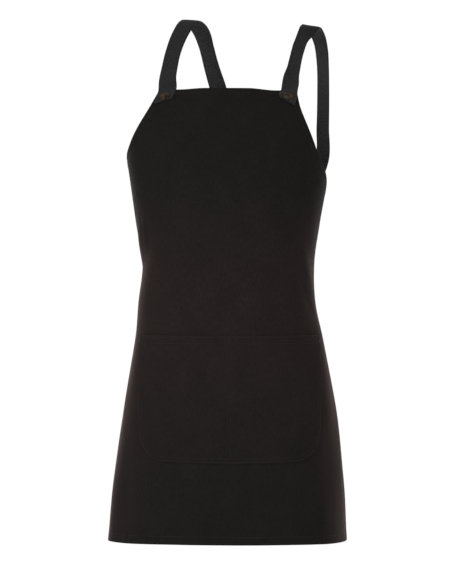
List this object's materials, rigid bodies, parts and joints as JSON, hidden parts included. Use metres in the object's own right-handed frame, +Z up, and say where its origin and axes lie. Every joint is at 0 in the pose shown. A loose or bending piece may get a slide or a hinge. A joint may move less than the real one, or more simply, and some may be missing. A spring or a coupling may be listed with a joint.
{
  "type": "cross back apron",
  "caption": "Knee-length canvas bib apron held in its worn form, with a divided patch pocket and webbing straps that cross behind, fastened with round studs.",
  "frame": {"origin": "between the two straps at the height where their undersides lie on the shoulders, on the middle plane of the panel's front (mount shoulder_rest)", "axes": "+Z up, -Y the way the apron's front faces, +X the right of the front view; the wearer's shoulders are turned about 20 degrees from the panel, so the straps lie further to +X behind"},
  "size_m": [0.4476, 0.2719, 0.9806],
  "materials": {
    "canvas": "brown-black cotton canvas, matt, with a soft brown nap at its edges",
    "webbing": "charcoal cotton webbing with fine lengthwise ribs",
    "antique_brass": "brown antique brass, satin, darker at the rim"
  },
  "bodies": {
    "root": {"apron_body": "canvas", "pocket_panel": "canvas", "strap_left": "webbing", "strap_right": "webbing", "front_stud_left": "antique_brass", "front_stud_right": "antique_brass", "back_stud_left": "antique_brass", "back_stud_right": "antique_brass"}
  },
  "joints": []
}
